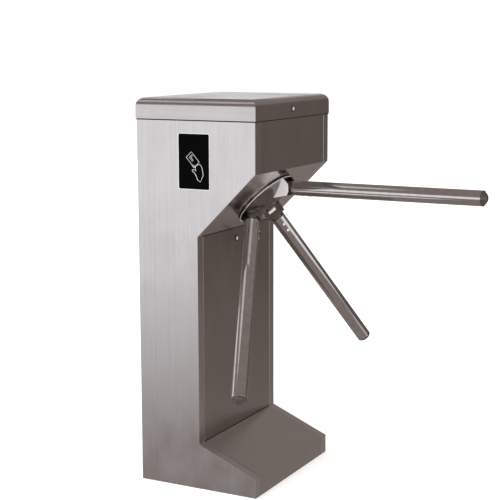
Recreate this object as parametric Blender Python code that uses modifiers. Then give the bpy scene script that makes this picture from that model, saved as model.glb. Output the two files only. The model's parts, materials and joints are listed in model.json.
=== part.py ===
"""Tripod turnstile that counts visitors: steel cabinet, sloping hub face, three arms and the works inside.

Metres, +Z up. The origin is the middle of the foot, on the floor. -Y is the end panel with the card reader,
+X is the passage side that the arms turn in. The hub turns about an axis square to the 45 degree slope.
"""

import math

import bmesh
import bpy
from mathutils import Matrix, Vector

# ---------------------------------------------------------------- cabinet
HALF_WIDTH = 0.165            # head and foot, along X
HALF_DEPTH = 0.2075           # along Y
COLUMN_FACE_X = 0.005         # passage side of the slim column
SEAM_Z = 0.928                # top of the cabinet, under the lid
SLOPE_TOP_Z = 0.802
SLOPE_FOOT_Z = 0.642
FOOT_TOP_Z = 0.1155
TOE_Z = 0.048
SHEET = 0.0015                # end panels, door and lid
SKIN = 0.0024                 # side sheets, flush between the end panels' flanges
BACKING = (0.0018, 0.0030)    # stiffening layer that laps behind the flanges, as depths below the face
FLANGE = 0.027                # return flange of each end panel
LAP_HALF = 0.196              # half width of the lapped layer
SKIN_HALF = HALF_DEPTH - FLANGE - 0.001
GAP = 0.0003

# ---------------------------------------------------------------- lid
LID_OVERHANG = 0.002
LID_TOP_Z = 0.980
LID_ROUND = 0.020
LID_OPEN_Z = SEAM_Z + GAP
HINGE_X = -0.1705
HINGE_RADIUS = 0.0032
HINGE_PIN_RADIUS = 0.0016
HINGE_HALF_LENGTH = 0.150
HINGE_KNUCKLES = 5
LID_LOCK_YZ = (-0.009, 0.950)

# ---------------------------------------------------------------- column door
DOOR_Z = (0.117, 0.6405)
DOOR_RETURN = 0.012
DOOR_LOCK_YZ = (-0.006, 0.613)

# ---------------------------------------------------------------- card reader
READER_CENTRE = (-0.0025, 0.8275)
READER_SIZE = (0.086, 0.135)
READER_CORNER = 0.004

# ---------------------------------------------------------------- tripod, in the hub's own frame
SLOPE_MIDDLE = (0.085, 0.0, 0.722)
APEX_DEPTH = 0.041            # the arms' axes meet this far below the slope face
HUB_RADIUS = 0.086
HUB_CLEAR = 0.001
SLOT_HALF = 0.017
LOBE_HALF = 0.024
ROOT_HALF = 0.0166
ARM_RADIUS = 0.019
ARM_BORE = 0.017
ARM_START = 0.112             # distances along an arm, from the apex
ARM_END = 0.600
ARM_TIP = 0.614
ARM_SCREWS = (0.134, 0.156)
SPIGOT_END = 0.190
SHAFT_RADIUS = 0.015
SHAFT_END = -0.175
ARM_ANGLES = {"upper": 0.0, "near": math.radians(120), "far": math.radians(-120)}

# ---------------------------------------------------------------- works, in the hub's own frame
PLATE_Z = (-0.022, -0.016)
LOCK_DISC_Z = (-0.108, -0.100)
LOCK_DISC_RADIUS = 0.060
NOTCHES = 12
PAWL_PIVOT = (0.066, 0.038)
PAWL_REACH = 0.038            # pivot to tooth
PAWL_TAIL = 0.030             # pivot to plunger pin
PLUNGER_RADIUS = 0.005
GLAND_PLACE = (-0.090, 0.060, 0.0)

ROUND = 40                    # facets of a large round
SMALL_ROUND = 20


# ---------------------------------------------------------------- scene, collections, materials
def start_scene():
    for item in list(bpy.data.objects):
        bpy.data.objects.remove(item, do_unlink=True)


def make_collection(name):
    group = bpy.data.collections.new(name)
    bpy.context.scene.collection.children.link(group)
    return group


def material(name, colour, roughness, metallic):
    made = bpy.data.materials.new(name)
    made.use_nodes = True
    shader = made.node_tree.nodes["Principled BSDF"]
    shader.inputs["Base Color"].default_value = (*colour, 1.0)
    shader.inputs["Roughness"].default_value = roughness
    shader.inputs["Metallic"].default_value = metallic
    return made


start_scene()
PARTS = make_collection("visitor_counter_turnstile")
CUTTERS = make_collection("cutters")

FINISHES = {
    "brushed_steel": ((0.52, 0.50, 0.48), 0.32, 1.0),
    "polished_steel": ((0.66, 0.65, 0.64), 0.14, 1.0),
    "machined_steel": ((0.48, 0.48, 0.49), 0.30, 1.0),
    "zinc_plate": ((0.55, 0.56, 0.58), 0.38, 1.0),
    "cast_aluminium": ((0.42, 0.43, 0.44), 0.55, 1.0),
    "black_glass": ((0.01, 0.01, 0.012), 0.06, 0.0),
    "black_plastic": ((0.02, 0.02, 0.022), 0.42, 0.0),
    "grey_plastic": ((0.22, 0.23, 0.24), 0.50, 0.0),
    "circuit_board": ((0.02, 0.12, 0.06), 0.45, 0.0),
}


# ---------------------------------------------------------------- building helpers
def place(name, mesh, finish=None, location=(0, 0, 0), rotation=(0, 0, 0), parent=None):
    """A part when it has a finish, otherwise a cutter or a shape to be joined."""
    item = bpy.data.objects.new(name, mesh)
    item.location = location
    item.rotation_euler = rotation
    item.parent = parent
    if finish is None:
        CUTTERS.objects.link(item)
        item.hide_render = True
        item.display_type = "WIRE"
        return item
    PARTS.objects.link(item)
    mesh.materials.append(material(name + "_" + finish, *FINISHES[finish]))
    return item


def empty(name, location, rotation=(0, 0, 0), parent=None):
    item = bpy.data.objects.new(name, None)
    item.location = location
    item.rotation_euler = rotation
    item.parent = parent
    PARTS.objects.link(item)
    return item


def boolean(item, other, operation, solver="EXACT"):
    step = item.modifiers.new(operation.lower(), "BOOLEAN")
    step.operation = operation
    step.solver = solver
    step.object = other


def cut(item, *cutters, solver="EXACT"):
    for cutter in cutters:
        boolean(item, cutter, "DIFFERENCE", solver)


def join(item, *others, solver="EXACT"):
    for other in others:
        boolean(item, other, "UNION", solver)


def shade(mesh):
    """Smooth over the rounds, sharp at the edges."""
    mesh.shade_smooth()
    mesh.set_sharp_from_angle(angle=math.radians(35))
    return mesh


def mesh_from(build):
    """Fills a new mesh with what build(bm) makes."""
    bm = bmesh.new()
    build(bm)
    mesh = bpy.data.meshes.new("shape")
    bm.to_mesh(mesh)
    bm.free()
    return shade(mesh)


def box_mesh(low, high):
    low, high = Vector(low), Vector(high)
    middle, size = (low + high) / 2, high - low
    matrix = Matrix.Translation(middle) @ Matrix.Diagonal((*size, 1.0))
    return mesh_from(lambda bm: bmesh.ops.create_cube(bm, size=1.0, matrix=matrix))


def cylinder_mesh(radius, low, high, facets=SMALL_ROUND):
    matrix = Matrix.Translation((0, 0, (low + high) / 2))
    return mesh_from(lambda bm: bmesh.ops.create_cone(
        bm, cap_ends=True, segments=facets, radius1=radius, radius2=radius, depth=high - low, matrix=matrix))


def slab_mesh(outline, low, high, holes=()):
    """A flat outline in XY, less its holes, filled and thickened from z = low to z = high."""
    curve = bpy.data.curves.new("outline", "CURVE")
    curve.dimensions = "2D"
    curve.fill_mode = "BOTH"
    curve.extrude = (high - low) / 2
    for loop in (outline, *holes):
        spline = curve.splines.new("POLY")
        spline.points.add(len(loop) - 1)
        for point, (x, y) in zip(spline.points, loop):
            point.co = (x, y, 0.0, 1.0)
        spline.use_cyclic_u = True
    guide = bpy.data.objects.new("outline", curve)
    CUTTERS.objects.link(guide)
    graph = bpy.context.evaluated_depsgraph_get()
    mesh = bpy.data.meshes.new_from_object(guide.evaluated_get(graph))
    bpy.data.objects.remove(guide)
    bm = bmesh.new()
    bm.from_mesh(mesh)
    bmesh.ops.remove_doubles(bm, verts=bm.verts, dist=0.00001)
    bmesh.ops.translate(bm, verts=bm.verts, vec=(0, 0, (low + high) / 2))
    bmesh.ops.recalc_face_normals(bm, faces=bm.faces)
    bm.to_mesh(mesh)
    bm.free()
    mesh.materials.clear()
    return shade(mesh)


def turned(name, profile, finish=None, closed=False, facets=ROUND, **where):
    """A profile of (radius, z) points turned about Z; a closed profile makes a ring."""
    mesh = bpy.data.meshes.new("profile")
    edges = [(i, i + 1) for i in range(len(profile) - 1)]
    if closed:
        edges.append((len(profile) - 1, 0))
    mesh.from_pydata([(r, 0.0, z) for r, z in profile], edges, [])
    item = place(name, mesh, finish, **where)
    screw = item.modifiers.new("turn", "SCREW")
    screw.axis = "Z"
    screw.angle = 2 * math.pi
    screw.steps = facets
    screw.render_steps = facets
    screw.use_merge_vertices = True
    screw.merge_threshold = 0.00005
    screw.use_normal_calculate = False
    return item


def round_edges(item, width, segments=2):
    step = item.modifiers.new("soft edges", "BEVEL")
    step.width = width
    step.segments = segments
    step.limit_method = "ANGLE"
    step.angle_limit = math.radians(50)


def offset_path(points, distance, closed=False):
    """The points moved sideways by distance, to the left of the direction of travel, with mitred corners."""
    count = len(points)
    moved = []
    for i, point in enumerate(points):
        here = Vector(point)
        normals = []
        for first, second in ((i - 1, i), (i, i + 1)):
            if not closed and (first < 0 or second >= count):
                continue
            along = Vector(points[second % count]) - Vector(points[first % count])
            normals.append(Vector((-along.y, along.x)).normalized())
        mitre = sum(normals, Vector((0, 0)))
        moved.append(tuple(here + mitre * distance * len(normals) / mitre.length_squared))
    return moved


def strip(path, depth_from, depth_to):
    """The outline of a bent sheet whose outer face follows path, between two depths below that face."""
    return offset_path(path, depth_from) + offset_path(path, depth_to)[::-1]


def arc(centre, radius, start, end, steps):
    turns = [start + (end - start) * i / steps for i in range(steps + 1)]
    return [(centre[0] + radius * math.cos(a), centre[1] + radius * math.sin(a)) for a in turns]


def rounded_rectangle(centre, size, radius, steps=4):
    half_x, half_y = size[0] / 2 - radius, size[1] / 2 - radius
    outline = []
    for quarter, (sx, sy) in enumerate(((1, 1), (-1, 1), (-1, -1), (1, -1))):
        corner = (centre[0] + sx * half_x, centre[1] + sy * half_y)
        outline += arc(corner, radius, quarter * math.pi / 2, (quarter + 1) * math.pi / 2, steps)
    return outline


def notched_disc(radius, floor, half_width, count, facets_between=4):
    """A disc outline with square notches in its rim, the first one at angle 0."""
    outline = []
    half_angle = math.asin(half_width / radius)
    floor_angle = math.asin(half_width / floor)
    for i in range(count):
        middle = 2 * math.pi * i / count
        following = 2 * math.pi * (i + 1) / count
        outline += arc((0, 0), floor, middle - floor_angle, middle + floor_angle, 1)
        outline += arc((0, 0), radius, middle + half_angle, following - half_angle, facets_between)
    return outline


# Turning an outline's plane: XZ_PLANE puts x, y on world X, Z with the thickness along -Y,
# and YZ_PLANE puts x, y on Y, Z with the thickness along X. TO_X turns +Z to +X.
XZ_PLANE = (math.pi / 2, 0, 0)
YZ_PLANE = (math.pi / 2, 0, math.pi / 2)
TO_X = (0, math.pi / 2, 0)
SIDE_ON = (math.pi / 2, 0, 0)


# ---------------------------------------------------------------- cabinet
SIDE_OUTLINE = [(-HALF_WIDTH, 0.0), (HALF_WIDTH, 0.0), (HALF_WIDTH, TOE_Z), (COLUMN_FACE_X, FOOT_TOP_Z),
                (COLUMN_FACE_X, SLOPE_FOOT_Z), (HALF_WIDTH, SLOPE_TOP_Z), (HALF_WIDTH, SEAM_Z),
                (-HALF_WIDTH, SEAM_Z)]


def end_panel(name, side):
    """One end panel: head, column and foot in outline, with a return flange all round except at the floor."""
    face, edge = side * HALF_DEPTH, side * (HALF_DEPTH - FLANGE)
    panel = place(name, slab_mesh(SIDE_OUTLINE, *sorted((-face, -edge))), "brushed_steel", rotation=XZ_PLANE)
    inside = offset_path(SIDE_OUTLINE, SHEET, closed=True)
    below_floor = -0.01
    inside = [(x, below_floor if z < 2 * SHEET else z) for x, z in inside]
    inner_face, past_edge = face - side * SHEET, edge - side * 0.01
    hollow = slab_mesh(inside, *sorted((-inner_face, -past_edge)))
    cut(panel, place(name + "_hollow", hollow, rotation=XZ_PLANE))
    return panel


def side_sheet(name, skin_path, lap_path):
    """A bent side sheet, flush between the end panels' flanges and lapped behind them."""
    sheet = place(name, slab_mesh(strip(skin_path, 0.0, SKIN), -SKIN_HALF, SKIN_HALF), "brushed_steel",
                  rotation=XZ_PLANE)
    lap = place(name + "_lap", slab_mesh(strip(lap_path, *BACKING), -LAP_HALF, LAP_HALF), rotation=XZ_PLANE)
    join(sheet, lap, solver="MANIFOLD")
    return sheet


def open_box(low, high, missing, finish, name, rounding=None):
    """A sheet pan: a box without the face whose normal is missing, thickened inwards."""
    low, high = Vector(low), Vector(high)
    bm = bmesh.new()
    matrix = Matrix.Translation((low + high) / 2) @ Matrix.Diagonal((*(high - low), 1.0))
    bmesh.ops.create_cube(bm, size=1.0, matrix=matrix)
    bm.normal_update()
    gone = [f for f in bm.faces if f.normal.dot(Vector(missing)) > 0.9]
    bmesh.ops.delete(bm, geom=gone, context="FACES_ONLY")
    if rounding:
        top = [e for e in bm.edges if all(abs(v.co.z - high.z) < 1e-6 for v in e.verts)]
        bmesh.ops.bevel(bm, geom=top, offset=rounding, segments=5, profile=0.5, affect="EDGES")
    mesh = bpy.data.meshes.new("pan")
    bm.to_mesh(mesh)
    bm.free()
    pan = place(name, mesh, finish)
    wall = pan.modifiers.new("sheet", "SOLIDIFY")
    wall.thickness = SHEET
    wall.offset = -1.0
    wall.use_even_offset = True
    return pan


def build_cabinet():
    front = end_panel("front_panel", -1)
    opening_size = (READER_SIZE[0] + 2 * GAP, READER_SIZE[1] + 2 * GAP)
    opening = rounded_rectangle(READER_CENTRE, opening_size, READER_CORNER)
    opening_block = slab_mesh(opening, HALF_DEPTH - 0.01, HALF_DEPTH + 0.01)
    cut(front, place("reader_opening", opening_block, rotation=XZ_PLANE))
    end_panel("rear_panel", 1)

    lap_top = SEAM_Z - 0.002
    hood = side_sheet(
        "hood_panel",
        [(COLUMN_FACE_X, SLOPE_FOOT_Z), (HALF_WIDTH, SLOPE_TOP_Z), (HALF_WIDTH, SEAM_Z)],
        [(COLUMN_FACE_X + 0.001, SLOPE_FOOT_Z + 0.001), (HALF_WIDTH, SLOPE_TOP_Z), (HALF_WIDTH, lap_top)])
    hub_hole = place("hub_hole", cylinder_mesh(0.032, -0.02, 0.02, ROUND), parent=HUB_FRAME)
    cut(hood, hub_hole, solver="MANIFOLD")
    side_sheet(
        "back_panel",
        [(-HALF_WIDTH, SEAM_Z), (-HALF_WIDTH, 0.0)],
        [(-HALF_WIDTH, lap_top), (-HALF_WIDTH, 0.0)])
    side_sheet(
        "foot_cover",
        [(HALF_WIDTH, 0.0), (HALF_WIDTH, TOE_Z), (COLUMN_FACE_X, FOOT_TOP_Z)],
        [(HALF_WIDTH, 0.0), (HALF_WIDTH, TOE_Z), (COLUMN_FACE_X + 0.001, FOOT_TOP_Z - 0.0005)])

    inset = BACKING[1] + GAP
    reach_x, reach_y = HALF_WIDTH - inset, HALF_DEPTH - SHEET - GAP
    base = place("base_plate", box_mesh((-reach_x, -reach_y, 0.0), (reach_x, reach_y, 0.006)), "zinc_plate")
    for x in (-0.130, 0.130):
        for y in (-0.165, 0.165):
            cut(base, place("anchor_hole", cylinder_mesh(0.007, -0.01, 0.02), location=(x, y, 0)))
    cut(base, place("cable_hole", cylinder_mesh(0.0105, -0.01, 0.02), location=GLAND_PLACE))
    turned(
        "cable_gland",
        [(0.0055, 0.001), (0.0055, 0.034), (0.0095, 0.034), (0.0095, 0.018),
         (0.0145, 0.018), (0.0145, 0.0063), (0.0102, 0.0063), (0.0102, 0.001)],
        "black_plastic", closed=True, facets=SMALL_ROUND, location=GLAND_PLACE)
    return hood


# ---------------------------------------------------------------- locks, lid and door
LOCK_BODY = 0.008
LOCK_BEZEL = 0.0095
LOCK_PLUG = 0.0047
LOCK_DEPTH = 0.020
CAM_LENGTH = 0.026
CAM_HALF = 0.005
CAM_THICK = 0.0025


def cam_lock(name, x, yz, cam_turn):
    """A quarter-turn cam lock whose axis is along X; cam_turn is the way its cam points, about X from +Y."""
    centre = (x, *yz)
    barrel = turned(
        name + "_barrel",
        [(LOCK_PLUG + GAP, -LOCK_DEPTH), (LOCK_PLUG + GAP, 0.0025), (LOCK_BEZEL - 0.0008, 0.0025),
         (LOCK_BEZEL, 0.0015), (LOCK_BEZEL, GAP), (LOCK_BODY, GAP), (LOCK_BODY, -LOCK_DEPTH)],
        "polished_steel", closed=True, facets=24, location=centre, rotation=TO_X)
    cam_top = -LOCK_DEPTH - GAP
    plug_end = cam_top - CAM_THICK - 0.001
    plug = turned(
        name + "_cam", [(0, 0.0020), (LOCK_PLUG, 0.0020), (LOCK_PLUG, plug_end), (0, plug_end)],
        "polished_steel", facets=SMALL_ROUND, location=centre, rotation=TO_X)
    tongue = box_mesh((cam_top - CAM_THICK, 0.0, -CAM_HALF), (cam_top, CAM_LENGTH, CAM_HALF))
    join(plug, place(name + "_tongue", tongue, location=centre, rotation=(cam_turn, 0, 0)))
    slot = place(name + "_key_slot", box_mesh((0.0005, -0.0006, -0.003), (0.01, 0.0006, 0.003)),
                 location=centre, rotation=(cam_turn, 0, 0))
    cut(plug, slot)
    hole = cylinder_mesh(LOCK_BODY + 0.0004, -0.01, 0.01, 24)
    return place(name + "_hole", hole, location=centre, rotation=TO_X)


def hinge_leaf(name, plate_low, plate_high, web_low, web_high, first):
    """A hinge leaf on the cabinet's back; first says which of the knuckles it carries, from the -Y end."""
    pitch = 2 * HINGE_HALF_LENGTH / HINGE_KNUCKLES
    leaf = place(name, box_mesh(plate_low, plate_high), "machined_steel")
    for i in range(first, HINGE_KNUCKLES, 2):
        start = -HINGE_HALF_LENGTH + i * pitch + GAP / 2
        end = start + pitch - GAP
        web = box_mesh((web_low[0], start, web_low[1]), (web_high[0], end, web_high[1]))
        tube = cylinder_mesh(HINGE_RADIUS, -end, -start)
        join(leaf, place("web", web))
        join(leaf, place("knuckle", tube, location=(HINGE_X, 0, LID_OPEN_Z), rotation=SIDE_ON))
    return leaf


def build_lid():
    reach_x, reach_y = HALF_WIDTH + LID_OVERHANG, HALF_DEPTH + LID_OVERHANG
    lid = open_box((-reach_x, -reach_y, LID_OPEN_Z), (reach_x, reach_y, LID_TOP_Z), (0, 0, -1),
                   "brushed_steel", "lid_shell", rounding=LID_ROUND)
    cut(lid, cam_lock("lid_lock", reach_x, LID_LOCK_YZ, -math.pi / 2))

    length = HINGE_HALF_LENGTH
    wall = -HALF_WIDTH - GAP
    lid_wall = -reach_x - GAP
    fixed = hinge_leaf("hinge_fixed_leaf", (wall - SHEET, -length, 0.892), (wall, length, 0.9265),
                       (HINGE_X, 0.9242), (wall - 0.0005, 0.9265), 0)
    join(fixed, place("pin", cylinder_mesh(HINGE_PIN_RADIUS, -length, length, 12),
                      location=(HINGE_X, 0, LID_OPEN_Z), rotation=SIDE_ON))
    moving = hinge_leaf("hinge_lid_leaf", (lid_wall - SHEET, -length, 0.9319), (lid_wall, length, 0.958),
                        (HINGE_X, 0.9301), (lid_wall - 0.0005, 0.9324), 1)
    cut(moving, place("pin_bore", cylinder_mesh(HINGE_PIN_RADIUS + GAP, -length, length, 12),
                      location=(HINGE_X, 0, LID_OPEN_Z), rotation=SIDE_ON))

    keeper_y = (0.020, 0.024)
    hook_under = LID_LOCK_YZ[1] + CAM_HALF + 0.002
    hook_top = hook_under + 0.003
    keeper = [(keeper_y[0], 0.900), (keeper_y[1], 0.900), (keeper_y[1], hook_top), (0.006, hook_top),
              (0.006, hook_under), (keeper_y[0], hook_under)]
    keeper_mesh = slab_mesh(keeper, 0.138, HALF_WIDTH - BACKING[1] - GAP)
    place("lid_keeper", keeper_mesh, "zinc_plate", rotation=YZ_PLANE)


def build_door():
    low = (COLUMN_FACE_X - DOOR_RETURN, -SKIN_HALF, DOOR_Z[0])
    high = (COLUMN_FACE_X, SKIN_HALF, DOOR_Z[1])
    door = open_box(low, high, (-1, 0, 0), "brushed_steel", "column_door")
    cut(door, cam_lock("door_lock", COLUMN_FACE_X, DOOR_LOCK_YZ, 0.0))
    back = COLUMN_FACE_X - LOCK_DEPTH + 0.0004
    keeper = [(back, 0.626), (back + 0.003, 0.626), (back + 0.003, 0.6485),
              (0.0065, 0.6485), (0.0095, 0.6515), (back, 0.6515)]
    place("door_keeper", slab_mesh(keeper, -0.030, 0.030), "zinc_plate", rotation=XZ_PLANE)


# ---------------------------------------------------------------- reader and electronics
def build_reader():
    x, z = READER_CENTRE
    behind = HALF_DEPTH - SHEET - GAP
    outline = rounded_rectangle(READER_CENTRE, READER_SIZE, READER_CORNER)
    pane = slab_mesh(outline, behind - 0.001, HALF_DEPTH + 0.0006)
    window = place("reader_window", pane, "black_glass", rotation=XZ_PLANE)
    rim_size = (READER_SIZE[0] + 0.010, READER_SIZE[1] + 0.010)
    rim = slab_mesh(rounded_rectangle(READER_CENTRE, rim_size, 0.006), behind - 0.002, behind)
    join(window, place("window_rim", rim, rotation=XZ_PLANE))
    back = behind - 0.002 - GAP
    block = box_mesh((x - 0.040, -back, z - 0.058), (x + 0.040, -back + 0.018, z + 0.058))
    module = place("reader_module", block, "black_plastic")
    round_edges(module, 0.002)


def build_electronics():
    wall = -HALF_WIDTH + BACKING[1] + GAP
    sheet = box_mesh((wall, -0.140, 0.180), (wall + 0.002, 0.140, 0.580))
    tray = place("electronics_tray", sheet, "zinc_plate")
    round_edges(tray, 0.0005, 1)
    seat = wall + 0.002 + GAP
    case = box_mesh((seat, -0.125, 0.205), (seat + 0.040, -0.030, 0.365))
    supply = place("power_supply", case, "zinc_plate")
    round_edges(supply, 0.0015)
    board = place("control_board", box_mesh((seat + 0.008, -0.120, 0.400), (seat + 0.0096, 0.020, 0.560)),
                  "circuit_board")
    for y in (-0.112, 0.012):
        for z in (0.408, 0.552):
            standoff = box_mesh((seat, y - 0.003, z - 0.003), (seat + 0.009, y + 0.003, z + 0.003))
            join(board, place("standoff", standoff))
    chips = [((-0.085, 0.480), (0.030, 0.030), 0.003), ((-0.030, 0.520), (0.044, 0.012), 0.011),
             ((-0.030, 0.425), (0.070, 0.012), 0.012), ((-0.095, 0.440), (0.016, 0.016), 0.018)]
    for (y, z), (wide, tall), high in chips:
        low_corner = (seat + 0.009, y - wide / 2, z - tall / 2)
        high_corner = (seat + 0.0096 + high, y + wide / 2, z + tall / 2)
        join(board, place("component", box_mesh(low_corner, high_corner)))
    unit = box_mesh((seat, 0.050, 0.420), (seat + 0.046, 0.110, 0.456))
    counter = place("counter_unit", unit, "black_plastic")
    bezel = box_mesh((seat + 0.044, 0.046, 0.416), (seat + 0.049, 0.114, 0.460))
    join(counter, place("counter_bezel", bezel))
    wheels = box_mesh((seat + 0.0475, 0.056, 0.428), (seat + 0.06, 0.104, 0.448))
    cut(counter, place("counter_wheels", wheels))


# ---------------------------------------------------------------- tripod
HUB_FRAME = empty("tripod_axis", SLOPE_MIDDLE, (math.pi, -math.pi / 4, 0))
WORKS_FRAME = empty("works_frame", SLOPE_MIDDLE, (math.pi, -math.pi / 4, 0))


def build_hub():
    """The hub casting: a thin round flange, a low dome, and three forked lobes that hold the arm roots."""
    rim_top = 0.0048
    dome = [(0.0153, HUB_CLEAR), (0.0153, 0.020), (0.020, 0.020), (0.020, 0.0285), (0.030, 0.0250),
            (0.048, 0.0190), (0.066, 0.0120), (0.080, rim_top), (HUB_RADIUS - 0.0008, rim_top),
            (HUB_RADIUS, rim_top - 0.0008), (HUB_RADIUS, HUB_CLEAR)]
    hub = turned("hub_body", dome, "polished_steel", closed=True, facets=60, parent=HUB_FRAME)
    lobe = [(0.024, 0.0035), (0.083, 0.0035), (0.083, 0.0250), (0.071, 0.0392), (0.060, 0.0432),
            (0.0285, 0.0230), (0.024, 0.0200)]
    floor = 0.006
    for angle in ARM_ANGLES.values():
        turn = (math.pi / 2, 0, angle)
        join(hub, place("lobe", slab_mesh(lobe, -LOBE_HALF, LOBE_HALF), rotation=turn, parent=HUB_FRAME))
    for angle in ARM_ANGLES.values():
        slot = box_mesh((0.030, -SLOT_HALF, floor), (0.110, SLOT_HALF, 0.070))
        cut(hub, place("slot", slot, rotation=(0, 0, angle), parent=HUB_FRAME))

    washer = 0.0203
    turned("hub_bolt", [(0, 0.0325), (0.008, 0.0318), (0.0140, 0.0296), (0.0185, 0.0262), (0.0197, 0.0240),
                        (0.0197, washer), (0.005, washer), (0.005, -0.010), (0, -0.010)],
           "polished_steel", facets=32, parent=HUB_FRAME)
    top, flange_low = HUB_CLEAR - GAP, -0.0093
    turned(
        "main_shaft",
        [(0, -0.012), (0.0053, -0.012), (0.0053, 0.020), (SHAFT_RADIUS, 0.020), (SHAFT_RADIUS, top),
         (0.029, top), (0.029, flange_low), (SHAFT_RADIUS, flange_low), (SHAFT_RADIUS, SHAFT_END),
         (0, SHAFT_END)],
        "machined_steel", facets=32, parent=HUB_FRAME)


def build_arm(name, angle):
    """One arm: forged root, tube pushed over its spigot, two screws and a domed end cap."""
    axis = empty(name + "_arm_axis", (0, 0, -APEX_DEPTH), (0, math.pi / 4, angle), HUB_FRAME)
    floor = 0.006 + GAP
    half = 0.0177 * math.sqrt(2)
    block_end = 0.106 * math.sqrt(2) - APEX_DEPTH
    inner = 0.034
    low_edge, high_edge = APEX_DEPTH + half, APEX_DEPTH - half
    outline = [(inner, floor), (low_edge + floor, floor),
               ((block_end + low_edge) / 2, (block_end - low_edge) / 2),
               ((block_end + high_edge) / 2, (block_end - high_edge) / 2), (inner, inner - high_edge)]
    root = place(name + "_arm_root", slab_mesh(outline, -ROOT_HALF, ROOT_HALF), "machined_steel",
                 rotation=(math.pi / 2, 0, angle), parent=HUB_FRAME)
    join(root, place("spigot", cylinder_mesh(ROOT_HALF, 0.098, SPIGOT_END, 32), parent=axis))
    tube = turned(name + "_arm_tube", [(ARM_BORE, ARM_START), (ARM_BORE, ARM_END), (ARM_RADIUS, ARM_END),
                                       (ARM_RADIUS, ARM_START)],
                  "polished_steel", closed=True, facets=32, parent=axis)
    dome = arc((0.0, ARM_TIP - ARM_RADIUS), ARM_RADIUS, math.radians(90), math.radians(22), 5)
    turned(name + "_arm_cap", dome + [(ARM_RADIUS, ARM_END + 0.0045), (ARM_RADIUS, ARM_END + GAP),
                                      (ARM_BORE - GAP, ARM_END + GAP), (ARM_BORE - GAP, ARM_END - 0.020),
                                      (0, ARM_END - 0.020)],
           "black_plastic", facets=32, parent=axis)
    for number, along in enumerate(ARM_SCREWS, 1):
        seat = (0, 0, along)
        outwards = (0, -math.pi / 2, 0)
        shank = cylinder_mesh(0.0033, 0.008, 0.030, 12)
        hole = place("screw_hole", shank, location=seat, rotation=outwards, parent=axis)
        cut(root, hole)
        cut(tube, hole)
        head = ARM_RADIUS + GAP
        turned(
            f"{name}_arm_screw_{number}",
            [(0, head + 0.0008), (0.0028, head + 0.0007), (0.0038, head + 0.0002), (0.0038, head),
             (0.0030, head), (0.0030, 0.0085), (0, 0.0085)],
            "polished_steel", facets=SMALL_ROUND, location=seat, rotation=outwards, parent=axis)


# ---------------------------------------------------------------- works behind the slope
def build_chassis(hood):
    """The cast chassis under the slope, its bridge, and the two screws that hold it to the slope face."""
    low, high = PLATE_Z
    plate = box_mesh((-0.105, -0.130, low), (0.105, 0.130, high))
    chassis = place("mechanism_chassis", plate, "cast_aluminium", parent=WORKS_FRAME)
    pad_top = -BACKING[1] - GAP
    for side in (-1, 1):
        pad = box_mesh((-0.050, side * 0.116 - 0.010, high - 0.001), (0.050, side * 0.116 + 0.010, pad_top))
        join(chassis, place("pad", pad, parent=WORKS_FRAME))
        post = box_mesh((0.096, 0.060, -0.0887), (0.116, 0.076, high))
        turn = (0, 0, (side - 1) * math.pi / 2)
        join(chassis, place("solenoid_post", post, rotation=turn, parent=WORKS_FRAME))
    cut(chassis, place("shaft_hole", cylinder_mesh(0.033, -0.04, 0.0, ROUND), parent=WORKS_FRAME))
    for name, side in (("front", 1), ("rear", -1)):
        seat = (-0.030, side * 0.116, 0)
        shank = cylinder_mesh(0.0044, -0.014, 0.01, 12)
        hole = place("slope_screw_hole", shank, location=seat, parent=WORKS_FRAME)
        cut(chassis, hole)
        cut(hood, hole, solver="MANIFOLD")
        turned(
            "slope_screw_" + name,
            [(0, 0.0030), (0.0035, 0.0027), (0.0058, 0.0012), (0.0058, GAP), (0.0040, GAP),
             (0.0040, -0.0135), (0, -0.0135)],
            "machined_steel", facets=SMALL_ROUND, location=seat, parent=WORKS_FRAME)

    leg, end_in, end_out = 0.088, -0.1823, -0.1863
    top = low - GAP
    outline = [(-leg, top), (-leg, end_in), (leg, end_in), (leg, top), (leg + 0.004, top),
               (leg + 0.004, end_out), (-leg - 0.004, end_out), (-leg - 0.004, top)]
    bridge = slab_mesh(outline, -0.020, 0.020)
    place("mechanism_bridge", bridge, "zinc_plate", rotation=YZ_PLANE, parent=WORKS_FRAME)


def build_bearings():
    top = PLATE_Z[0] - GAP
    turned("bearing_housing",
           [(0.020, -0.0281), (0.020, top), (0.048, top), (0.048, top - 0.008), (0.036, top - 0.008),
            (0.036, -0.094), (0.0313, -0.094), (0.0313, -0.0281)],
           "cast_aluminium", closed=True, parent=WORKS_FRAME)
    for name, high in (("front_bearing", -0.0284), ("rear_bearing", -0.0770)):
        inner, outer, wide = SHAFT_RADIUS + GAP, 0.031, 0.016
        turned(name, [(inner, high - wide), (inner, high), (outer, high), (outer, high - wide)],
               "machined_steel", closed=True, facets=32, parent=WORKS_FRAME)
    turned("index_unit", [(0, -0.178), (SHAFT_RADIUS + 0.0006, -0.178), (SHAFT_RADIUS + 0.0006, -0.130),
                          (0.046, -0.130), (0.046, -0.182), (0, -0.182)],
           "grey_plastic", facets=ROUND, parent=WORKS_FRAME)


def build_discs():
    discs = (("lock_disc", "machined_steel", LOCK_DISC_Z, LOCK_DISC_RADIUS, 0.053, 0.005),
             ("encoder_disc", "black_plastic", (-0.1215, -0.120), 0.048, 0.042, 0.004))
    for name, finish, (low, high), radius, floor, half_width in discs:
        outline = notched_disc(radius, floor, half_width, NOTCHES)
        bore = arc((0, 0), SHAFT_RADIUS + GAP, 0, 2 * math.pi, 32)[:-1]
        place(name, slab_mesh(outline, low, high, [bore]), finish, parent=HUB_FRAME)
    block = box_mesh((-0.006, 0.040, -0.1285), (0.006, 0.0877, -0.113))
    sensor = place("opto_sensor", block, "black_plastic", parent=WORKS_FRAME)
    slot = box_mesh((-0.01, 0.030, -0.1235), (0.01, 0.052, -0.118))
    cut(sensor, place("sensor_slot", slot, parent=WORKS_FRAME))


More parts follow.
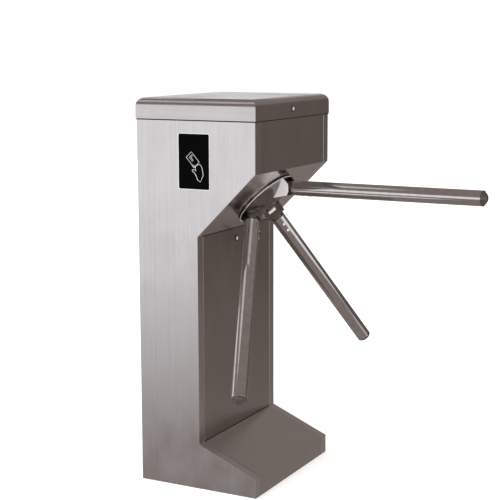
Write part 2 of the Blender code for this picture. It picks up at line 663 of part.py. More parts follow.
def build_lock(name, turn):
    """One locking pawl with its post, solenoid and plunger; turn is its place round the shaft."""
    low, high = LOCK_DISC_Z
    side = empty(name + "_side", (0, 0, 0), (0, 0, turn), WORKS_FRAME)
    pivot = (*PAWL_PIVOT, 0)
    shoulder, post_top = high + 0.0015, PLATE_Z[0] - GAP
    turned(name + "_pawl_post", [(0, post_top), (0.008, post_top), (0.008, shoulder), (0.004, shoulder),
                                 (0.004, low - 0.004), (0, low - 0.004)],
           "machined_steel", facets=SMALL_ROUND, location=pivot, parent=side)
    tooth_low, tooth_high = -PAWL_REACH - 0.0025, -PAWL_REACH + 0.0025
    outline = [(-0.004, tooth_low), (0.010, tooth_low), (0.010, -0.008), (0.012, 0.0), (0.010, 0.010),
               (0.007, PAWL_TAIL + 0.008), (-0.007, PAWL_TAIL + 0.008), (-0.007, 0.006), (0.001, -0.010),
               (0.001, tooth_high), (-0.004, tooth_high)]
    pawl = place(name + "_pawl", slab_mesh(outline, low, high), "machined_steel", location=pivot, parent=side)
    bore = cylinder_mesh(0.0043, low - 0.01, high + 0.01)
    pin_slot = box_mesh((-0.0034, PAWL_TAIL - 0.0045, low - 0.01), (0.0034, PAWL_TAIL + 0.0045, high + 0.01))
    cut(pawl, place("pivot_bore", bore, location=pivot, parent=side))
    cut(pawl, place("pin_slot", pin_slot, location=pivot, parent=side))

    tail_y = PAWL_PIVOT[1] + PAWL_TAIL
    middle = (low + high) / 2
    face, back, half = 0.097, 0.147, 0.015
    coil = box_mesh((face, tail_y - half, middle - half), (back, tail_y + half, middle + half))
    solenoid = place(name + "_solenoid", coil, "black_plastic", parent=side)
    round_edges(solenoid, 0.0015)
    along = (0, tail_y, middle)
    guide = cylinder_mesh(PLUNGER_RADIUS + GAP, face - 0.01, back + 0.01)
    cut(solenoid, place("plunger_bore", guide, location=along, rotation=TO_X, parent=side))
    rod = cylinder_mesh(PLUNGER_RADIUS, 0.084, back + 0.010)
    plunger = place(name + "_plunger", rod, "machined_steel", location=along, rotation=TO_X, parent=side)
    tongue_low, tongue_high = high + 0.003, high + 0.006
    step = box_mesh((0.083, tail_y - 0.004, middle - 0.002), (0.089, tail_y + 0.004, tongue_high))
    tongue_corner = (PAWL_PIVOT[0] - 0.005, tail_y - 0.004, tongue_low)
    tongue = box_mesh(tongue_corner, (0.089, tail_y + 0.004, tongue_high))
    join(plunger, place("step", step, parent=side), place("tongue", tongue, parent=side))
    join(plunger, place("pin", cylinder_mesh(0.003, low - 0.001, tongue_low + 0.001, 12),
                        location=(PAWL_PIVOT[0], tail_y, 0), parent=side))


HOOD = build_cabinet()
build_lid()
build_door()
build_reader()
build_electronics()
build_hub()
for arm_name, arm_angle in ARM_ANGLES.items():
    build_arm(arm_name, arm_angle)
build_chassis(HOOD)
build_bearings()
build_discs()
build_lock("entry", 0.0)
build_lock("exit", math.pi)
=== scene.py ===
"""Looks for the visitor counter turnstile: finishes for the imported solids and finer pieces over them."""

import json
import math

import bmesh
import bpy
from mathutils import Matrix, Vector


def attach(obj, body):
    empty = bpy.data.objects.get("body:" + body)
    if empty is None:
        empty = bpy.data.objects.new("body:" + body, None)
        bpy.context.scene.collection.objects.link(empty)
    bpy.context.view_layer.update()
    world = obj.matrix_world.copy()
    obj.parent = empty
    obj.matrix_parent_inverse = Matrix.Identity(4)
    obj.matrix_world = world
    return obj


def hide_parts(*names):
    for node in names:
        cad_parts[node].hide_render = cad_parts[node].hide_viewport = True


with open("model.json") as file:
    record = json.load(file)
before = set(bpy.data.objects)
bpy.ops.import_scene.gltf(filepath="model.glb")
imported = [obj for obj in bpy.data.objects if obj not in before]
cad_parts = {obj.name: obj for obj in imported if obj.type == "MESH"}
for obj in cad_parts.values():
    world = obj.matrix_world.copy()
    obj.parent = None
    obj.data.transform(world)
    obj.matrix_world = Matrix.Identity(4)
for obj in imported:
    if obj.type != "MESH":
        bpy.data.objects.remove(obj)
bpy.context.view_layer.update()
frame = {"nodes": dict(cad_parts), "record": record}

# ---------------------------------------------------------------- hub, in metres
HALF_ROOT = math.sqrt(0.5)
HUB_ORIGIN = Vector((0.085, 0.0, 0.722))
HUB_FRAME = Matrix(((HALF_ROOT, 0, HALF_ROOT, HUB_ORIGIN.x),
                    (0, -1, 0, HUB_ORIGIN.y),
                    (HALF_ROOT, 0, -HALF_ROOT, HUB_ORIGIN.z),
                    (0, 0, 0, 1)))
LOBE_HALF = 0.024
RIM_RADIUS = 0.0850
RIM_HEIGHT = 0.0046
RIM_WIRE = 0.0010
RIM_STEPS = 128

# ---------------------------------------------------------------- arms, measured along each arm from the apex
APEX_DEPTH = 0.041
ARMS = {"upper": 0.0, "near": math.radians(120), "far": math.radians(-120)}
ARM_RADIUS = 0.019
ARM_START = 0.112
ARM_END = 0.600
ARM_TIP = 0.614
ARM_STEPS = 96
TUBE_EASE = 0.0008
TUBE_RING = 0.0018
TUBE_LIP = 0.001
SPIGOT_RADIUS = 0.0164
SPIGOT_LENGTH = 0.018
CAP_GAP = 0.0003
CAP_EASE = 0.0004
CAP_COLLAR = 0.0040
DOME_BEGIN = 28
# Where the pale band of painted highlight lies on each arm's root.
HIGHLIGHT_BAND_ALONG = (0.0765, 0.0845)
HIGHLIGHT_BAND_ACROSS = (-0.0145, 0.0065)

# ---------------------------------------------------------------- card reader and lid seal
READER = (-0.0025, 0.8275)
READER_SIZE = (0.086, 0.135)
READER_FACE = -0.2081
READER_MARGIN = 0.0006
READER_CORNER = 0.005
READER_WIRE = 0.0009
SIGN_WIRE = 0.00048
SIGN = (
    # card
    ((-0.0095, 0.8515), (-0.0235, 0.8375), (-0.0015, 0.8125), (0.0125, 0.8265)),
    # stripe on the card
    ((-0.0085, 0.8440), (-0.0150, 0.8375), (-0.0070, 0.8285), (-0.0045, 0.8310), (-0.0105, 0.8375),
     (-0.0065, 0.8415)),
    # hand
    ((0.0025, 0.8165), (0.0095, 0.8205), (0.0145, 0.8215), (0.0205, 0.8130), (0.0235, 0.7950),
     (0.0155, 0.7790), (0.0080, 0.7830), (0.0035, 0.7930), (-0.0005, 0.8000), (-0.0065, 0.8035),
     (-0.0075, 0.8075), (-0.0025, 0.8085), (0.0035, 0.8050), (0.0015, 0.8105)),
    # finger over the card
    ((-0.0015, 0.8125), (-0.0065, 0.8165), (-0.0045, 0.8195), (0.0015, 0.8165)),
)
SEAL_X, SEAL_Y, SEAL_Z = 0.1654, 0.2079, 0.9268
SEAL_WIRE = 0.0013

# ---------------------------------------------------------------- camera, floor and studio
CAMERA_LENS = 91.04
CAMERA_SENSOR = 36.0
CAMERA_REACH = 100.0
CAMERA_PLACE = (1.54629, -2.85097, 1.11067)
CAMERA_RIGHT = Vector((0.88452, 0.46649, -0.00283))
CAMERA_UP = Vector((-0.07283, 0.14408, 0.98688))
CAMERA_BACK = Vector((0.46078, -0.87271, 0.16142))
FLOOR_RADIUS = 9.0
FLOOR_DROP = 0.0005
FLOOR_GLOW = 0.28

# A ramp is 0 at its first number and 1 at its second. HEIGHTS are the low end, the high end and the blur.
# All of them are in parts of the direction's length; LAMP_EDGE is the cosine of the angle off a lamp's aim.
NEAR_BAND = (0.222, 0.165)
FAR_BAND = (0.302, 0.262)
PALE_LEFT = (-0.02, -0.30)
PALE_FACING = (0.35, -0.05)
PALE_RISING = (0.0, 0.09)
PALE_FRONT = (-0.15, -0.50)
PALE_RIGHT = (0.80, 0.93)
LOW_LAMP_HEIGHTS = (-0.64, -0.52, 0.04)
LOW_LAMP_LEFT = (-0.15, -0.30)
LOW_LAMP_FRONT = (-0.15, -0.35)
SHADE_HEIGHTS = (-0.30, 0.0, 0.05)
SHADE_LEFT = (-0.20, -0.32)
SHADE_REAR = (0.25, 0.45)
LAMP_EDGE = (0.962, 0.986)
HORIZON_BROWN = (0.150, 0.122, 0.108)
HORIZON_PALE = (1.07, 1.06, 1.09)
CARD_BROWN = (0.275, 0.235, 0.220)
LOW_LAMP_COLOUR = (1.0, 0.98, 0.99)
SHADE_COLOUR = (0.022, 0.018, 0.016)
BACKDROP_STRENGTH = 1.05
LAMPS = (((-0.54, -0.337, 0.80), (0.72, 0.69, 0.69)), ((-0.68, 0.60, 0.44), (0.95, 0.93, 0.93)),
         ((0.75, 0.48, -0.46), (0.60, 0.57, 0.56)), ((0.68, -0.68, 0.30), (0.95, 0.93, 0.93)))

# ---------------------------------------------------------------- mesh tolerances
SAME_POINT = 0.00002
SAME_LATHE_POINT = 0.000002
ON_PLANE = 0.000001
FLAT_ANGLE = math.radians(1)
CREASE = 30


# ---------------------------------------------------------------- node helpers
def add(tree, kind, **settings):
    node = tree.nodes.new(kind)
    for key, value in settings.items():
        setattr(node, key, value)
    return node


def feed(tree, socket, value):
    """Links value to the socket when it is an output, otherwise sets it."""
    if isinstance(value, bpy.types.NodeSocket):
        tree.links.new(value, socket)
    else:
        socket.default_value = value


def chain(tree, operation, first, *others):
    """The operation applied to the values from left to right; a single value gets 0 as its partner."""
    for other in others or (0.0,):
        node = add(tree, "ShaderNodeMath", operation=operation)
        feed(tree, node.inputs[0], first)
        feed(tree, node.inputs[1], other)
        first = node.outputs[0]
    return first


def blend(tree, first, share, second):
    """first weighed by its share, plus second weighed by the rest."""
    return chain(tree, "ADD", chain(tree, "MULTIPLY", first, share),
                 chain(tree, "MULTIPLY", second, 1 - share))


def ramp_between(tree, value, start, end):
    """Smooth 0 to 1 as value goes from start to end."""
    node = add(tree, "ShaderNodeMapRange", interpolation_type="SMOOTHSTEP")
    feed(tree, node.inputs["Value"], value)
    node.inputs["From Min"].default_value = start
    node.inputs["From Max"].default_value = end
    return node.outputs["Result"]


def between(tree, value, low, high, blur):
    """1 where value lies from low to high, fading out over blur beyond either end."""
    return chain(tree, "MULTIPLY", ramp_between(tree, value, low - blur, low),
                 ramp_between(tree, value, high + blur, high))


def spread(tree, value, low, high):
    """0 to 1 stretched to low to high."""
    node = add(tree, "ShaderNodeMapRange")
    feed(tree, node.inputs["Value"], value)
    node.inputs["To Min"].default_value = low
    node.inputs["To Max"].default_value = high
    return node.outputs["Result"]


def mix_colour(tree, factor, first, second):
    node = add(tree, "ShaderNodeMix", data_type="RGBA", blend_type="MIX")
    feed(tree, node.inputs["Factor"], factor)
    for socket, value in ((node.inputs["A"], first), (node.inputs["B"], second)):
        feed(tree, socket, (*value, 1.0) if isinstance(value, tuple) else value)
    return node.outputs["Result"]


def place_of(tree, scale, turn=(0, 0, 0), offset=(0, 0, 0)):
    """Object coordinates, in metres, turned and then stretched by scale."""
    source = add(tree, "ShaderNodeTexCoord")
    turned_by = add(tree, "ShaderNodeMapping", vector_type="POINT")
    turned_by.inputs["Rotation"].default_value = turn
    turned_by.inputs["Location"].default_value = offset
    stretched = add(tree, "ShaderNodeMapping", vector_type="POINT")
    stretched.inputs["Scale"].default_value = scale
    tree.links.new(source.outputs["Object"], turned_by.inputs["Vector"])
    tree.links.new(turned_by.outputs["Vector"], stretched.inputs["Vector"])
    return stretched.outputs["Vector"]


def noise(tree, scale, turn=(0, 0, 0), offset=(0, 0, 0), detail=4.0, rough=0.6):
    """Noise over the object; scale is one number, or one for each axis."""
    scale = scale if isinstance(scale, tuple) else (scale, scale, scale)
    node = add(tree, "ShaderNodeTexNoise")
    feed(tree, node.inputs["Vector"], place_of(tree, scale, turn, offset))
    node.inputs["Scale"].default_value = 1.0
    node.inputs["Detail"].default_value = detail
    node.inputs["Roughness"].default_value = rough
    return node.outputs["Fac"]


# ---------------------------------------------------------------- finishes
def start(name, metallic=0.0):
    made = bpy.data.materials.new(name)
    made.use_nodes = True
    tree = made.node_tree
    shader = tree.nodes["Principled BSDF"]
    shader.inputs["Metallic"].default_value = metallic
    return made, tree, shader


def colour_by(tree, shader, factor, first, second):
    tree.links.new(mix_colour(tree, factor, first, second), shader.inputs["Base Color"])


def roughen(tree, shader, factor, low, high):
    tree.links.new(spread(tree, factor, low, high), shader.inputs["Roughness"])


def emboss(tree, shader, height, strength, distance):
    node = add(tree, "ShaderNodeBump")
    feed(tree, node.inputs["Height"], height)
    node.inputs["Strength"].default_value = strength
    node.inputs["Distance"].default_value = distance
    tree.links.new(node.outputs["Normal"], shader.inputs["Normal"])


def plain(name, colour, roughness):
    """Matt paint with a very faint change of tone."""
    made, tree, shader = start(name)
    colour_by(tree, shader, noise(tree, 3), colour, tuple(c * 0.98 for c in colour))
    shader.inputs["Roughness"].default_value = roughness
    return made


def brushed(name, grain=(0, 0, 0), light=(0.60, 0.580, 0.568), dark=(0.53, 0.505, 0.49), rough=(0.15, 0.27),
            anisotropy=0.45):
    """Brushed stainless steel. The grain runs along Z once the metal is turned by grain."""
    made, tree, shader = start(name, 1.0)
    fine = noise(tree, (1500, 1500, 7), grain, detail=3)
    broad = noise(tree, (150, 150, 1.3), grain, detail=5)
    cloud = noise(tree, (4, 4, 3), offset=(3.1, 1.7, 0.4), detail=3)
    smear = noise(tree, (13, 13, 9), offset=(1.3, 5.1, 2.2), detail=6, rough=0.7)
    grainy = blend(tree, fine, 0.7, broad)
    colour_by(tree, shader, ramp_between(tree, blend(tree, grainy, 0.7, cloud), 0.35, 0.65), light, dark)
    roughen(tree, shader, ramp_between(tree, blend(tree, broad, 0.18, smear), 0.3, 0.7), *rough)
    shader.inputs["Anisotropic"].default_value = anisotropy
    tangent = add(tree, "ShaderNodeTangent", direction_type="RADIAL", axis="Z")
    tree.links.new(tangent.outputs["Tangent"], shader.inputs["Tangent"])
    emboss(tree, shader, grainy, 0.10, 0.0004)
    return made


def polished(name, light=(0.66, 0.645, 0.635), dark=(0.58, 0.56, 0.55), rough=(0.06, 0.14)):
    """Polished stainless steel with faint swirls and hand marks."""
    made, tree, shader = start(name, 1.0)
    swirl = noise(tree, 60, detail=8, rough=0.65)
    marks = noise(tree, 900, detail=3)
    hands = noise(tree, 12, offset=(0.7, 0.2, 1.9), detail=5, rough=0.7)
    colour_by(tree, shader, ramp_between(tree, swirl, 0.3, 0.7), light, dark)
    roughen(tree, shader, ramp_between(tree, blend(tree, swirl, 0.4, hands), 0.35, 0.7), *rough)
    emboss(tree, shader, marks, 0.04, 0.0002)
    return made


def cast(name, light, dark, rough=(0.45, 0.65), metallic=1.0, grit=700, depth=0.35):
    """Grainy metal or moulded plastic."""
    made, tree, shader = start(name, metallic)
    grain = noise(tree, grit, detail=4, rough=0.7)
    cloud = noise(tree, 25, detail=5)
    colour_by(tree, shader, ramp_between(tree, blend(tree, grain, 0.4, cloud), 0.35, 0.65), light, dark)
    roughen(tree, shader, cloud, *rough)
    emboss(tree, shader, grain, depth, 0.0003)
    return made


def glass_black(name):
    """Black glass with fine specks and a slight haze."""
    made, tree, shader = start(name)
    dust = noise(tree, 2500, detail=3)
    haze = noise(tree, 35, detail=5)
    colour_by(tree, shader, ramp_between(tree, dust, 0.70, 0.80), (0.0012, 0.0012, 0.0014),
              (0.012, 0.012, 0.012))
    roughen(tree, shader, haze, 0.03, 0.12)
    shader.inputs["Specular IOR Level"].default_value = 0.02
    return made


# ---------------------------------------------------------------- camera, floor and light
def build_camera():
    data = bpy.data.cameras.new("camera")
    data.lens = CAMERA_LENS
    data.sensor_width = CAMERA_SENSOR
    data.clip_end = CAMERA_REACH
    camera = bpy.data.objects.new("camera", data)
    place = Matrix((CAMERA_RIGHT, CAMERA_UP, CAMERA_BACK)).transposed().to_4x4()
    place.translation = CAMERA_PLACE
    camera.matrix_world = place
    bpy.context.scene.collection.objects.link(camera)
    bpy.context.scene.camera = camera


def build_floor():
    """A pale disc. Its faint glow keeps the shadows light, and the metal doesn't mirror it."""
    mesh = bpy.data.meshes.new("floor")
    bm = bmesh.new()
    bmesh.ops.create_circle(bm, cap_ends=True, segments=64, radius=FLOOR_RADIUS)
    bm.to_mesh(mesh)
    bm.free()
    floor = bpy.data.objects.new("floor", mesh)
    floor.location.z = -FLOOR_DROP
    floor.visible_glossy = False
    bpy.context.scene.collection.objects.link(floor)
    paint = plain("floor_paint", (0.90, 0.90, 0.90), 0.9)
    shader = paint.node_tree.nodes["Principled BSDF"]
    shader.inputs["Emission Color"].default_value = (1, 1, 1, 1)
    shader.inputs["Emission Strength"].default_value = FLOOR_GLOW
    mesh.materials.append(paint)


def soft_light(name, direction, spread_degrees, strength):
    """An even light from far away, along direction; the metal shows the studio and not the lamp."""
    data = bpy.data.lights.new(name, "SUN")
    data.angle = math.radians(spread_degrees)
    data.energy = strength
    light = bpy.data.objects.new(name, data)
    light.rotation_euler = Vector(direction).to_track_quat("-Z", "Y").to_euler()
    light.visible_glossy = False
    bpy.context.scene.collection.objects.link(light)


def studio_colour(tree, direction):
    """The studio's colour in each direction: a pale band at eye height on some sides, brown card above and
    below it, soft lamps, and a dark zone behind."""
    split = add(tree, "ShaderNodeSeparateXYZ")
    tree.links.new(direction, split.inputs[0])
    x, y, z = (split.outputs[axis] for axis in "XYZ")
    height = chain(tree, "ABSOLUTE", z)
    band = blend(tree, ramp_between(tree, height, *NEAR_BAND), 0.5, ramp_between(tree, height, *FAR_BAND))
    facing_or_rising = chain(tree, "MAXIMUM", ramp_between(tree, y, *PALE_FACING),
                             ramp_between(tree, z, *PALE_RISING))
    pale_left = chain(tree, "MULTIPLY", ramp_between(tree, x, *PALE_LEFT), facing_or_rising)
    pale_side = chain(tree, "MAXIMUM", pale_left, ramp_between(tree, y, *PALE_FRONT),
                      ramp_between(tree, x, *PALE_RIGHT))
    horizon = mix_colour(tree, pale_side, HORIZON_BROWN, HORIZON_PALE)
    colour = mix_colour(tree, band, CARD_BROWN, horizon)
    low_lamp = chain(tree, "MULTIPLY", between(tree, z, *LOW_LAMP_HEIGHTS),
                     ramp_between(tree, x, *LOW_LAMP_LEFT), ramp_between(tree, y, *LOW_LAMP_FRONT))
    colour = mix_colour(tree, low_lamp, colour, LOW_LAMP_COLOUR)
    for aim, lamp_colour in LAMPS:
        toward = add(tree, "ShaderNodeVectorMath", operation="DOT_PRODUCT")
        tree.links.new(direction, toward.inputs[0])
        toward.inputs[1].default_value = Vector(aim).normalized()
        inside = ramp_between(tree, toward.outputs["Value"], *LAMP_EDGE)
        colour = mix_colour(tree, inside, colour, lamp_colour)
    shade = chain(tree, "MULTIPLY", between(tree, z, *SHADE_HEIGHTS), ramp_between(tree, x, *SHADE_LEFT),
                  ramp_between(tree, y, *SHADE_REAR))
    return mix_colour(tree, shade, colour, SHADE_COLOUR)


def build_world():
    """The studio lights the turnstile and shows in its steel; the camera sees a white backdrop."""
    world = bpy.data.worlds.new("studio")
    world.use_nodes = True
    bpy.context.scene.world = world
    tree = world.node_tree
    tree.nodes.clear()
    direction = add(tree, "ShaderNodeTexCoord").outputs["Generated"]
    soft = add(tree, "ShaderNodeBackground")
    tree.links.new(studio_colour(tree, direction), soft.inputs["Color"])
    white = add(tree, "ShaderNodeBackground")
    white.inputs["Color"].default_value = (1, 1, 1, 1)
    white.inputs["Strength"].default_value = BACKDROP_STRENGTH
    path = add(tree, "ShaderNodeLightPath")
    choose = add(tree, "ShaderNodeMixShader")
    tree.links.new(path.outputs["Is Camera Ray"], choose.inputs[0])
    tree.links.new(soft.outputs[0], choose.inputs[1])
    tree.links.new(white.outputs[0], choose.inputs[2])
    out = add(tree, "ShaderNodeOutputWorld")
    tree.links.new(choose.outputs[0], out.inputs["Surface"])


# ---------------------------------------------------------------- piece helpers
def finish_mesh(mesh, crease=CREASE):
    mesh.shade_smooth()
    mesh.set_sharp_from_angle(angle=math.radians(crease))


def add_piece(name, mesh, look, body, nodes=(), place=None):
    """A visible piece that rides on body. A place is put into the mesh, so its box stays tight."""
    piece = bpy.data.objects.new(name, mesh)
    if place is not None:
        mesh.transform(place)
    bpy.context.scene.collection.objects.link(piece)
    mesh.materials.clear()
    mesh.materials.append(look)
    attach(piece, body)
    if nodes:
        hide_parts(*nodes)
    return piece


def body_holding(node):
    return next(body for body, nodes in frame["record"]["behaviour"]["bodies"].items() if node in nodes)


def soften(node, look, width, segments, crease=CREASE, accent=None, chosen=None, slices=()):
    """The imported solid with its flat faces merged, the edges sharper than crease rounded, and the slices
    cut as extra edges. Faces that chosen picks take the accent."""
    bm = bmesh.new()
    bm.from_mesh(frame["nodes"][node].data)
    bmesh.ops.remove_doubles(bm, verts=bm.verts, dist=SAME_POINT)
    bmesh.ops.dissolve_limit(bm, angle_limit=FLAT_ANGLE, verts=bm.verts, edges=bm.edges)
    edges = [e for e in bm.edges if len(e.link_faces) == 2 and e.calc_face_angle(0) > math.radians(crease)]
    bmesh.ops.bevel(bm, geom=edges, offset=width, segments=segments, profile=0.5, affect="EDGES",
                    clamp_overlap=True)
    for point, normal in slices:
        geometry = [*bm.verts, *bm.edges, *bm.faces]
        bmesh.ops.bisect_plane(bm, geom=geometry, plane_co=point, plane_no=normal, dist=ON_PLANE)
    mesh = bpy.data.meshes.new(node + "_fine")
    bm.to_mesh(mesh)
    bm.free()
    finish_mesh(mesh, crease)
    piece = add_piece(node + "_fine", mesh, look, body_holding(node), [node])
    if accent:
        mesh.materials.append(accent)
        for face in mesh.polygons:
            face.material_index = int(chosen(face))
    # Large faces keep their own normals and only the rounded edges turn.
    step = piece.modifiers.new("flat faces", "WEIGHTED_NORMAL")
    step.mode = "FACE_AREA"
    step.weight = 100
    step.keep_sharp = True


def lathe_mesh(name, profile, segments):
    """A profile of (radius, z) points turned about Z."""
    bm = bmesh.new()
    line = [bm.verts.new((r, 0, z)) for r, z in profile]
    edges = [bm.edges.new(pair) for pair in zip(line, line[1:])]
    bmesh.ops.spin(bm, geom=line + edges, cent=(0, 0, 0), axis=(0, 0, 1), angle=2 * math.pi, steps=segments,
                   use_merge=True)
    bmesh.ops.remove_doubles(bm, verts=bm.verts, dist=SAME_LATHE_POINT)
    bmesh.ops.recalc_face_normals(bm, faces=bm.faces)
    mesh = bpy.data.meshes.new(name)
    bm.to_mesh(mesh)
    bm.free()
    finish_mesh(mesh)
    return mesh


def sweep_piece(name, paths, radius, look, closed=True):
    """Round wires along the paths, as one mesh on the cabinet."""
    curve = bpy.data.curves.new(name, "CURVE")
    curve.dimensions = "3D"
    curve.bevel_depth = radius
    curve.bevel_resolution = 2
    curve.use_fill_caps = True
    for path in paths:
        spline = curve.splines.new("POLY")
        spline.points.add(len(path) - 1)
        for point, place in zip(spline.points, path):
            point.co = (*place, 1.0)
        spline.use_cyclic_u = closed
    guide = bpy.data.objects.new(name, curve)
    bpy.context.scene.collection.objects.link(guide)
    mesh = bpy.data.meshes.new_from_object(guide.evaluated_get(bpy.context.evaluated_depsgraph_get()))
    bpy.data.objects.remove(guide)
    finish_mesh(mesh)
    add_piece(name, mesh, look, "cabinet")


def arc(centre, radius, begin, end, steps):
    """Points on an arc, from begin to end in degrees."""
    turns = [math.radians(begin + (end - begin) * i / steps) for i in range(steps + 1)]
    return [(centre[0] + radius * math.cos(a), centre[1] + radius * math.sin(a)) for a in turns]


def rounded_outline(half_x, half_z, radius):
    """A rectangle with round corners about the reader's middle, as (x, z) points."""
    points = []
    for sx, sz, begin in ((1, 1, 0), (-1, 1, 90), (-1, -1, 180), (1, -1, 270)):
        centre = (READER[0] + sx * (half_x - radius), READER[1] + sz * (half_z - radius))
        points += arc(centre, radius, begin, begin + 90, 6)
    return points


def on_reader(outline):
    """The (x, z) points of an outline laid on the reader's face."""
    return [(x, READER_FACE, z) for x, z in outline]


# ---------------------------------------------------------------- hub and arm helpers
def arm_frame(angle):
    """An arm's own frame: the apex is its origin and the arm runs along +Z."""
    apex = Matrix.Translation((0, 0, -APEX_DEPTH))
    return HUB_FRAME @ apex @ Matrix.Rotation(angle, 4, "Z") @ Matrix.Rotation(math.pi / 4, 4, "Y")


def tube_profile():
    """An arm tube's outside with eased edges; at each end a ring is turned in to the tube's bore."""
    inner = ARM_RADIUS - TUBE_RING
    eased = ARM_RADIUS - TUBE_EASE
    return [(inner, ARM_START + TUBE_LIP), (inner, ARM_START),
            *arc((eased, ARM_START + TUBE_EASE), TUBE_EASE, -90, 0, 4),
            *arc((eased, ARM_END - TUBE_EASE), TUBE_EASE, 0, 90, 4),
            (inner, ARM_END), (inner, ARM_END - TUBE_LIP)]


def cap_profile():
    """An end cap: spigot, collar and dome."""
    return [(SPIGOT_RADIUS, ARM_END - SPIGOT_LENGTH), (SPIGOT_RADIUS, ARM_END + CAP_GAP),
            (ARM_RADIUS - CAP_EASE, ARM_END + CAP_GAP), (ARM_RADIUS, ARM_END + CAP_GAP + CAP_EASE),
            (ARM_RADIUS, ARM_END + CAP_COLLAR),
            *arc((0.0, ARM_TIP - ARM_RADIUS), ARM_RADIUS, DOME_BEGIN, 90, 14)]


def on_cheek(face):
    """Whether a face of the hub is the flat on one side of a lobe, which is painted pale as a highlight."""
    turned_back = HUB_FRAME.to_3x3().transposed() @ face.normal
    centre = HUB_FRAME.inverted() @ face.center
    for angle in ARMS.values():
        side = Vector((-math.sin(angle), math.cos(angle), 0))
        if turned_back.dot(side) > 0.99 and abs(centre.dot(side) - LOBE_HALF) < 0.001:
            return True
    return False


def soften_root(arm, place):
    """An arm's root, with a pale band across its outer side as a painted highlight."""
    outwards, across, along = -place.col[0].to_3d(), place.col[1].to_3d(), place.col[2].to_3d()
    ends = [(place @ Vector((0, 0, distance)), along) for distance in HIGHLIGHT_BAND_ALONG]
    sides = [(place @ Vector((0, offset, 0)), across) for offset in HIGHLIGHT_BAND_ACROSS]

    def on_highlight_band(face):
        local = place.inverted() @ face.center
        inside = HIGHLIGHT_BAND_ALONG[0] < local.z < HIGHLIGHT_BAND_ALONG[1] and HIGHLIGHT_BAND_ACROSS[0] < local.y < HIGHLIGHT_BAND_ACROSS[1]
        return inside and face.normal.dot(outwards) > 0.9

    soften(arm + "_arm_root", SHADED_HUB_STEEL, 0.0008, 3, crease=35, accent=PALE_STEEL_AND_HIGHLIGHT, chosen=on_highlight_band, slices=ends + sides)


# ---------------------------------------------------------------- stage and finishes
build_camera()
build_world()
build_floor()
soft_light("overhead", (0.15, 0.35, -1.0), 75, 3.0)
soft_light("fill", (-0.8, 0.5, -0.5), 60, 0.8)

PANEL = brushed("panel_steel")
# A lighter copy of the panel steel: painted highlight on the front and rear panels.
LIT_END_STEEL = brushed("end_panel_steel_painted_light", light=(0.655, 0.640, 0.640), dark=(0.590, 0.570, 0.566))
# A darker copy of the panel steel: painted shade on the column door.
SHADED_DOOR_STEEL = brushed("door_steel_painted_shade", light=(0.520, 0.485, 0.470), dark=(0.450, 0.415, 0.400))
LEVEL = brushed("lid_steel", grain=(0, math.pi / 2, 0))
CHROME = polished("arm_steel", rough=(0.05, 0.11))
# A darker copy of the polished steel: painted shade and dark reflections on the hub, its bolt and the arm
# roots.
SHADED_HUB_STEEL = polished("hub_steel_painted_shade", (0.31, 0.275, 0.262), (0.22, 0.194, 0.184), (0.06, 0.14))
# Pale satin steel. It is the real finish of the reader frame, lock cams and arm screws, and a painted
# highlight on the hub's side flats, the roots' bands and the rim ring.
PALE_STEEL_AND_HIGHLIGHT = cast("pale_steel_and_painted_highlight", (0.90, 0.885, 0.89), (0.80, 0.785, 0.79), (0.30, 0.42), 0.25, 900, 0.06)
PAINT = cast("sign_paint", (0.92, 0.92, 0.92), (0.84, 0.84, 0.84), (0.5, 0.6), 0.0, 1500, 0.05)
RUBBER = cast("seal_rubber", (0.020, 0.018, 0.018), (0.012, 0.011, 0.011), (0.6, 0.75), 0.0, 1500, 0.1)
MACHINED = brushed("machined_steel", light=(0.50, 0.50, 0.51), dark=(0.40, 0.40, 0.41), rough=(0.22, 0.38),
                   anisotropy=0.2)
ZINC = cast("zinc_plate", (0.60, 0.61, 0.63), (0.46, 0.48, 0.50), (0.25, 0.42), grit=300, depth=0.12)
ALLOY = cast("cast_alloy", (0.48, 0.49, 0.50), (0.38, 0.39, 0.40))
CAP = cast("arm_cap_plastic", (0.115, 0.103, 0.099), (0.080, 0.072, 0.069), (0.14, 0.24), 0.5, 1500, 0.05)
BLACK = cast("black_plastic", (0.022, 0.022, 0.024), (0.014, 0.014, 0.015), (0.35, 0.5), 0.0, 1200, 0.15)
GREY = cast("grey_plastic", (0.24, 0.25, 0.26), (0.19, 0.20, 0.21), (0.4, 0.55), 0.0, 1200, 0.15)
BOARD = cast("circuit_board", (0.02, 0.13, 0.06), (0.015, 0.09, 0.045), (0.3, 0.45), 0.0, 900, 0.1)
GLASS = glass_black("reader_glass")

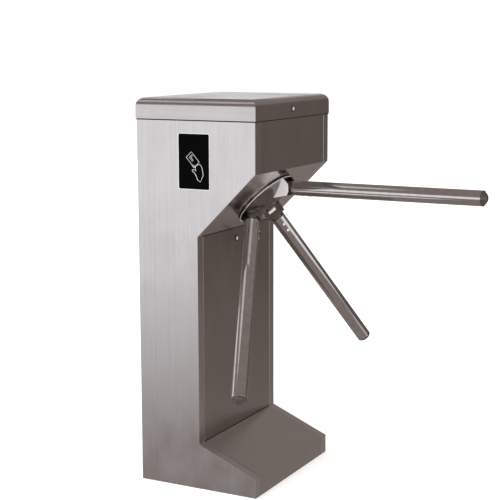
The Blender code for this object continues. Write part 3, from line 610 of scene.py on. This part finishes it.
LOOKS = {"brushed_steel": PANEL, "polished_steel": CHROME, "machined_steel": MACHINED, "zinc_plate": ZINC,
         "cast_aluminium": ALLOY, "black_glass": GLASS, "black_plastic": BLACK, "grey_plastic": GREY,
         "circuit_board": BOARD}
OWN_LOOKS = {"lid_lock_barrel": CAP, "door_lock_barrel": CAP, "lid_lock_cam": PALE_STEEL_AND_HIGHLIGHT, "door_lock_cam": PALE_STEEL_AND_HIGHLIGHT,
             "slope_screw_front": CAP, "slope_screw_rear": CAP,
             **{f"{arm}_arm_screw_{number}": PALE_STEEL_AND_HIGHLIGHT for arm in ARMS for number in (1, 2)}}
for part in frame["record"]["subparts"]:
    for holder in frame["nodes"][part["node"]].material_slots:
        holder.material = OWN_LOOKS.get(part["node"], LOOKS[part["material_slot"]])

# ---------------------------------------------------------------- cabinet and lid
soften("front_panel", LIT_END_STEEL, 0.0006, 3)
soften("rear_panel", LIT_END_STEEL, 0.0006, 3)
soften("hood_panel", PANEL, 0.0005, 2)
soften("back_panel", PANEL, 0.0005, 2)
soften("foot_cover", PANEL, 0.0005, 2)
soften("column_door", SHADED_DOOR_STEEL, 0.0007, 3)
soften("lid_shell", LEVEL, 0.0005, 2, crease=40)

# ---------------------------------------------------------------- arms and hub
for arm, angle in ARMS.items():
    place = arm_frame(angle)
    add_piece(arm + "_arm_tube_fine", lathe_mesh("tube", tube_profile(), ARM_STEPS), CHROME, "tripod",
              [arm + "_arm_tube"], place)
    add_piece(arm + "_arm_cap_fine", lathe_mesh("cap", cap_profile(), ARM_STEPS), CAP, "tripod",
              [arm + "_arm_cap"], place)
# The lobes' side flats take the pale steel as a painted highlight.
soften("hub_body", SHADED_HUB_STEEL, 0.0007, 3, crease=35, accent=PALE_STEEL_AND_HIGHLIGHT, chosen=on_cheek)
soften("hub_bolt", SHADED_HUB_STEEL, 0.0007, 3, crease=35)
for arm, angle in ARMS.items():
    soften_root(arm, arm_frame(angle))
# A thin pale ring along the hub's rim: a painted highlight line.
rim = [(RIM_RADIUS + r, z) for r, z in arc((0.0, RIM_HEIGHT), RIM_WIRE, 0, 360, 12)]
add_piece("hub_rim_highlight", lathe_mesh("rim", rim, RIM_STEPS), PALE_STEEL_AND_HIGHLIGHT, "tripod",
          place=HUB_FRAME)

# ---------------------------------------------------------------- card reader and lid seal
surround = rounded_outline(READER_SIZE[0] / 2 + READER_MARGIN, READER_SIZE[1] / 2 + READER_MARGIN,
                           READER_CORNER)
sweep_piece("reader_frame", [on_reader(surround)], READER_WIRE, PALE_STEEL_AND_HIGHLIGHT)
sweep_piece("reader_sign", [on_reader(outline) for outline in SIGN], SIGN_WIRE, PAINT)
seal = [(-SEAL_X, -SEAL_Y, SEAL_Z), (SEAL_X, -SEAL_Y, SEAL_Z), (SEAL_X, SEAL_Y, SEAL_Z),
        (-SEAL_X, SEAL_Y, SEAL_Z)]
sweep_piece("lid_seal", [seal], SEAL_WIRE, RUBBER, closed=False)

bpy.context.scene.view_settings.view_transform = "Standard"
